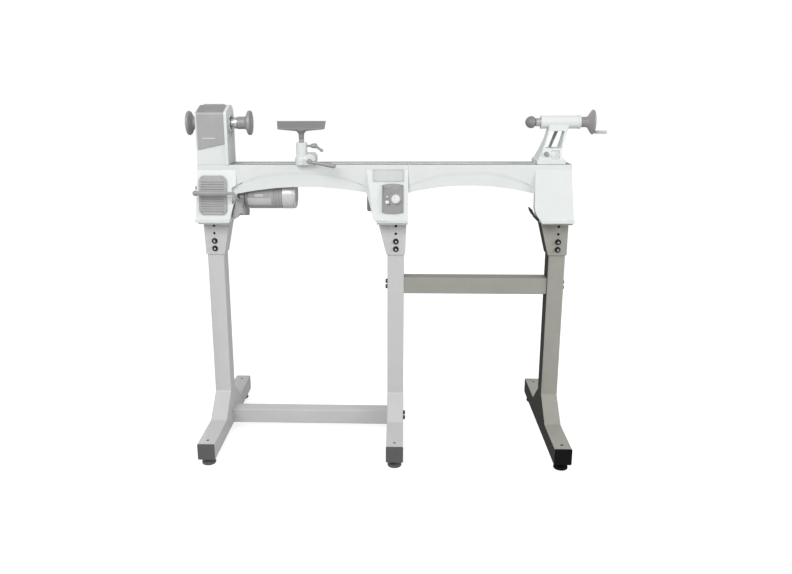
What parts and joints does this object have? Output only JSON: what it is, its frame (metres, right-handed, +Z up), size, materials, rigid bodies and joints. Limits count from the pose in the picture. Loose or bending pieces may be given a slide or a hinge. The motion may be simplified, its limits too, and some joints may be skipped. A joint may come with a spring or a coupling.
{
  "type": "wood lathe on a stand",
  "caption": "Wood turning lathe with an extended cast bed, headstock, sliding tool rest and tailstock, belt drive and motor, on a steel stand with splayed T-shaped legs.",
  "frame": {"origin": "on the floor, under the middle of the lathe's overall box, in the vertical plane of the spindle's axis", "axes": "+X along the spindle from the headstock to the tailstock, -Y towards the turner, +Z up"},
  "size_m": [1.322, 0.5874, 1.1046],
  "materials": {
    "casting_paint": "smooth off-white paint on cast iron",
    "cover_paint": "satin mid grey",
    "dark_cast": "satin dark grey",
    "motor_paint": "satin dark grey, cast aluminium",
    "panel_plastic": "matte dark grey",
    "stand_light": "smooth light grey powder coat",
    "stand_grey": "smooth warm grey powder coat",
    "bright_steel": "ground steel",
    "black_steel": "black oxide",
    "rubber": "matte black",
    "cap_plastic": "matte dark grey",
    "knob_plastic": "satin light grey"
  },
  "bodies": {
    "base": {"leg_left": "stand_light", "leg_middle": "stand_light", "leg_right": "stand_grey", "bracket_left": "stand_light", "bracket_middle": "stand_light", "bracket_right": "stand_grey", "crossbar_lower": "stand_light", "crossbar_upper": "stand_grey", "bracket_bolts_left": "black_steel", "bracket_bolts_middle": "black_steel", "bracket_bolts_right": "black_steel", "crossbar_bolts_lower_left": "black_steel", "crossbar_bolts_lower_middle": "black_steel", "crossbar_bolts_upper_middle": "black_steel", "crossbar_bolts_upper_right": "black_steel", "foot_cap_left_front": "cap_plastic", "foot_cap_left_rear": "cap_plastic", "foot_cap_middle_front": "cap_plastic", "foot_cap_middle_rear": "cap_plastic", "foot_cap_right_front": "cap_plastic", "foot_cap_right_rear": "cap_plastic", "bed_casting": "casting_paint", "bed_extension": "casting_paint", "lower_access_cover": "cover_paint", "control_housing": "panel_plastic", "headstock_casting": "casting_paint", "bearing_rear": "bright_steel", "bearing_front": "bright_steel", "drive_belt": "rubber"},
    "level_left_front": {"levelling_foot_left_front": "black_steel"},
    "level_left_rear": {"levelling_foot_left_rear": "black_steel"},
    "level_middle_front": {"levelling_foot_middle_front": "black_steel"},
    "level_middle_rear": {"levelling_foot_middle_rear": "black_steel"},
    "level_right_front": {"levelling_foot_right_front": "black_steel"},
    "level_right_rear": {"levelling_foot_right_rear": "black_steel"},
    "top_cover": {"headstock_cover": "cover_paint"},
    "spindle_group": {"spindle": "bright_steel", "spindle_pulley": "motor_paint", "outboard_handwheel": "dark_cast", "faceplate": "dark_cast"},
    "motor_carrier": {"motor_mount": "dark_cast", "motor_body": "motor_paint"},
    "rotor": {"motor_rotor": "bright_steel"},
    "knob": {"speed_knob": "knob_plastic"},
    "toggle": {"power_switch": "black_steel"},
    "banjo_carriage": {"banjo_clamp_plate": "dark_cast"},
    "banjo_swivel": {"banjo_clamp_bolt": "bright_steel"},
    "banjo_base": {"banjo": "casting_paint"},
    "banjo_lever": {"banjo_lock_lever": "dark_cast"},
    "rest_lever": {"tool_rest_lock_lever": "black_steel"},
    "rest_post": {"tool_rest_post": "dark_cast"},
    "rest": {"tool_rest": "dark_cast"},
    "tailstock": {"tailstock_body": "casting_paint", "tailstock_clamp_plate": "dark_cast"},
    "tailstock_lever": {"tailstock_clamp_lever": "dark_cast"},
    "quill_lever": {"quill_lock_lever": "dark_cast"},
    "handwheel": {"tailstock_handwheel": "dark_cast"},
    "spinner": {"handwheel_spinner": "dark_cast"},
    "quill_body": {"quill": "bright_steel"},
    "center": {"live_center": "dark_cast"}
  },
  "joints": [
    {"name": "level_left_front_screw", "type": "slide", "parent": "base", "child": "level_left_front", "axis": [0, 0, -1], "range_m": [0, 0.015]},
    {"name": "level_left_rear_screw", "type": "slide", "parent": "base", "child": "level_left_rear", "axis": [0, 0, -1], "range_m": [0, 0.015]},
    {"name": "level_middle_front_screw", "type": "slide", "parent": "base", "child": "level_middle_front", "axis": [0, 0, -1], "range_m": [0, 0.015]},
    {"name": "level_middle_rear_screw", "type": "slide", "parent": "base", "child": "level_middle_rear", "axis": [0, 0, -1], "range_m": [0, 0.015]},
    {"name": "level_right_front_screw", "type": "slide", "parent": "base", "child": "level_right_front", "axis": [0, 0, -1], "range_m": [0, 0.015]},
    {"name": "level_right_rear_screw", "type": "slide", "parent": "base", "child": "level_right_rear", "axis": [0, 0, -1], "range_m": [0, 0.015]},
    {"name": "top_cover_hinge", "type": "hinge", "parent": "base", "child": "top_cover", "pos_m": [-0.57625, 0.0175, 1.1046], "axis": [1, 0, 0], "range_deg": [-150, 0]},
    {"name": "spindle_turn", "type": "hinge", "parent": "base", "child": "spindle_group", "pos_m": [-0.5, 0, 1.049], "axis": [1, 0, 0], "continuous": true},
    {"name": "motor_pivot", "type": "hinge", "parent": "base", "child": "motor_carrier", "pos_m": [-0.4915, 0.05, 0.757], "axis": [1, 0, 0], "range_deg": [-5, 0], "deforming": ["drive_belt"]},
    {"name": "rotor_turn", "type": "hinge", "parent": "motor_carrier", "child": "rotor", "pos_m": [-0.49, 0.016, 0.82], "axis": [1, 0, 0], "continuous": true},
    {"name": "speed_knob_turn", "type": "hinge", "parent": "base", "child": "knob", "pos_m": [0.0025, -0.06778, 0.815], "axis": [0, -0.985, 0.1727], "range_deg": [-270, 0]},
    {"name": "power_switch_tilt", "type": "hinge", "parent": "base", "child": "toggle", "pos_m": [-0.024, -0.06936, 0.806], "axis": [1, 0, 0], "range_deg": [-24, 0]},
    {"name": "banjo_travel", "type": "slide", "parent": "base", "child": "banjo_carriage", "axis": [1, 0, 0], "range_m": [-0.06, 0.5]},
    {"name": "banjo_swivel_turn", "type": "hinge", "parent": "banjo_carriage", "child": "banjo_swivel", "pos_m": [-0.2835, 0.012, 0.9], "axis": [0, 0, 1], "range_deg": [-35, 20]},
    {"name": "banjo_cross_slide", "type": "slide", "parent": "banjo_swivel", "child": "banjo_base", "axis": [0, 1, 0], "range_m": [-0.05, 0]},
    {"name": "banjo_lever_turn", "type": "hinge", "parent": "banjo_base", "child": "banjo_lever", "pos_m": [-0.265, -0.076, 0.936], "axis": [0, 1, 0], "range_deg": [-70, 0]},
    {"name": "rest_lever_turn", "type": "hinge", "parent": "banjo_base", "child": "rest_lever", "pos_m": [-0.253, -0.06, 0.981], "axis": [1, 0, 0], "range_deg": [-150, 0]},
    {"name": "rest_height", "type": "slide", "parent": "banjo_base", "child": "rest_post", "axis": [0, 0, 1], "range_m": [-0.003, 0.035]},
    {"name": "rest_swivel", "type": "hinge", "parent": "rest_post", "child": "rest", "pos_m": [-0.291, -0.06, 1.0031], "axis": [0, 0, 1], "range_deg": [-60, 60]},
    {"name": "tailstock_travel", "type": "slide", "parent": "base", "child": "tailstock", "axis": [1, 0, 0], "range_m": [-0.5, 0.015]},
    {"name": "tailstock_lever_turn", "type": "hinge", "parent": "tailstock", "child": "tailstock_lever", "pos_m": [0.47, 0.06, 0.953], "axis": [0, 1, 0], "range_deg": [-75, 0]},
    {"name": "quill_lever_turn", "type": "hinge", "parent": "tailstock", "child": "quill_lever", "pos_m": [0.485, 0.03, 1.049], "axis": [0, 1, 0], "range_deg": [-75, 0]},
    {"name": "handwheel_turn", "type": "hinge", "parent": "tailstock", "child": "handwheel", "pos_m": [0.505, 0, 1.049], "axis": [1, 0, 0], "range_deg": [-5655, 1130]},
    {"name": "spinner_turn", "type": "hinge", "parent": "handwheel", "child": "spinner", "pos_m": [0.6235, 0, 1.018], "axis": [1, 0, 0], "continuous": true},
    {"name": "quill_travel", "type": "slide", "parent": "tailstock", "child": "quill_body", "axis": [1, 0, 0], "range_m": [-0.05, 0.01]},
    {"name": "center_turn", "type": "hinge", "parent": "quill_body", "child": "center", "pos_m": [0.406, 0, 1.049], "axis": [1, 0, 0], "continuous": true}
  ],
  "couplings": [
    {"joint": "rotor_turn", "follows": "spindle_turn", "ratio": 1.5},
    {"joint": "quill_travel", "follows": "handwheel_turn", "m_per_rad": 0.00050532}
  ]
}
